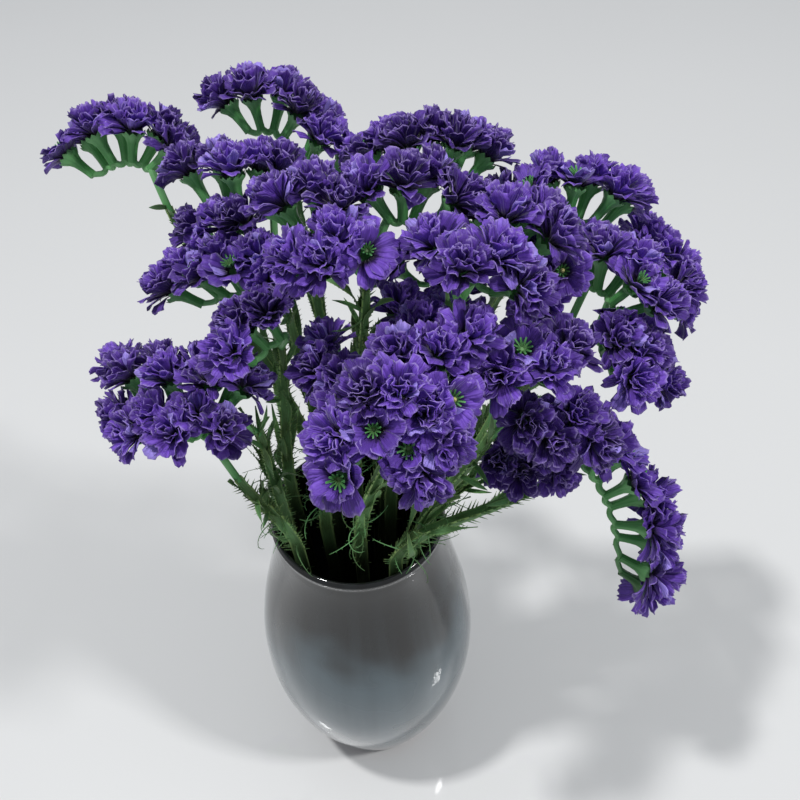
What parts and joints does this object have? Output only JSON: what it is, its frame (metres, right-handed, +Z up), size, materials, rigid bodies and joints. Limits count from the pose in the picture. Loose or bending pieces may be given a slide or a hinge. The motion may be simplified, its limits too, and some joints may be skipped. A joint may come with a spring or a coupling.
{
  "type": "dried statice bunch in a vase",
  "caption": "A bunch of purple statice on winged green stems, standing in a glossy dark grey egg-shaped vase.",
  "frame": {"origin": "centre of the flat base that the vase stands on", "axes": "+Z up along the vase's axis, -Y towards the viewer, +X to the viewer's right"},
  "size_m": [0.2812, 0.1944, 0.3757],
  "materials": {
    "glaze": "gloss",
    "stalk_green": "matte",
    "petal_purple": "matte"
  },
  "bodies": {
    "root": {"blooms_back_right_a": "petal_purple", "blooms_centre_low_a": "petal_purple", "blooms_centre_top_a": "petal_purple", "blooms_centre_top_b": "petal_purple", "blooms_centre_top_c": "petal_purple", "blooms_front_a": "petal_purple", "blooms_front_b": "petal_purple", "blooms_front_c": "petal_purple", "blooms_front_right_a": "petal_purple", "blooms_front_right_b": "petal_purple", "blooms_left_high_a": "petal_purple", "blooms_left_low_back_a": "petal_purple", "blooms_left_low_front_a": "petal_purple", "blooms_left_middle_a": "petal_purple", "blooms_left_middle_b": "petal_purple", "blooms_right_back_a": "petal_purple", "blooms_right_inner_a": "petal_purple", "blooms_right_inner_b": "petal_purple", "blooms_right_inner_c": "petal_purple", "blooms_right_low_a": "petal_purple", "blooms_right_outer_a": "petal_purple", "blooms_right_outer_b": "petal_purple", "blooms_right_shade_a": "petal_purple", "blooms_right_top_a": "petal_purple", "blooms_right_top_b": "petal_purple", "blooms_shade_back_a": "petal_purple", "blooms_shade_back_b": "petal_purple", "blooms_top_a": "petal_purple", "blooms_top_b": "petal_purple", "blooms_upper_left_a": "petal_purple", "blooms_upper_left_b": "petal_purple", "stem_back_right": "stalk_green", "stem_centre_low": "stalk_green", "stem_centre_top": "stalk_green", "stem_front": "stalk_green", "stem_front_right": "stalk_green", "stem_left_high": "stalk_green", "stem_left_low_back": "stalk_green", "stem_left_low_front": "stalk_green", "stem_left_middle": "stalk_green", "stem_right_back": "stalk_green", "stem_right_inner": "stalk_green", "stem_right_low": "stalk_green", "stem_right_outer": "stalk_green", "stem_right_shade": "stalk_green", "stem_right_top": "stalk_green", "stem_shade_back": "stalk_green", "stem_top": "stalk_green", "stem_upper_left": "stalk_green", "vase": "glaze"}
  },
  "joints": []
}
